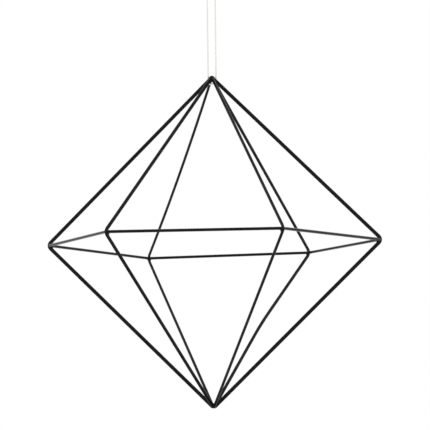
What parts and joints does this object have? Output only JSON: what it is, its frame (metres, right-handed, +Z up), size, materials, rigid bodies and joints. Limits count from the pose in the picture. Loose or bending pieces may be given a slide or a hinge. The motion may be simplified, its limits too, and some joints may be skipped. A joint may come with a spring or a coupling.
{
  "type": "hanging ornament",
  "caption": "Black wire ornament: a hexagonal bipyramid frame of flat ribs and round ring bars, welded, hung on a pale cord loop on which it swings and turns.",
  "frame": {"origin": "the point of the hook or peg that the cord loop hangs on, inside the top of the loop", "axes": "+Z up along the frame's axis, -Y to the front, +X to the right as pictured"},
  "size_m": [0.3, 0.2612, 0.3857],
  "materials": {
    "frame": "satin black powder coat",
    "cord": "thin twisted off-white cord"
  },
  "bodies": {
    "loop_top": {"cord_crown": "cord"},
    "strands": {"cord_strand_left": "cord", "cord_strand_right": "cord", "cord_knot": "cord"},
    "frame": {"rib_right": "frame", "rib_back_right": "frame", "rib_back_left": "frame", "rib_left": "frame", "rib_front_left": "frame", "rib_front_right": "frame", "ring_bar_back_right": "frame", "ring_bar_back": "frame", "ring_bar_back_left": "frame", "ring_bar_front_left": "frame", "ring_bar_front": "frame", "ring_bar_front_right": "frame", "top_weld": "frame", "bottom_weld": "frame", "corner_weld_right": "frame", "corner_weld_back_right": "frame", "corner_weld_back_left": "frame", "corner_weld_left": "frame", "corner_weld_front_left": "frame", "corner_weld_front_right": "frame", "cord_saddle": "cord"}
  },
  "joints": [
    {"name": "swing", "type": "hinge", "parent": "loop_top", "child": "strands", "pos_m": [0, 0, -0.00299], "axis": [0, 1, 0], "range_deg": [-25, 25], "deforming": ["cord_strand_left", "cord_strand_right"]},
    {"name": "turn", "type": "hinge", "parent": "strands", "child": "frame", "pos_m": [0, 0, -0.086], "axis": [0, 0, 1], "range_deg": [-160, 160], "stiffness_Nm_per_rad": 0.0002, "deforming": ["cord_strand_left", "cord_strand_right"]}
  ]
}
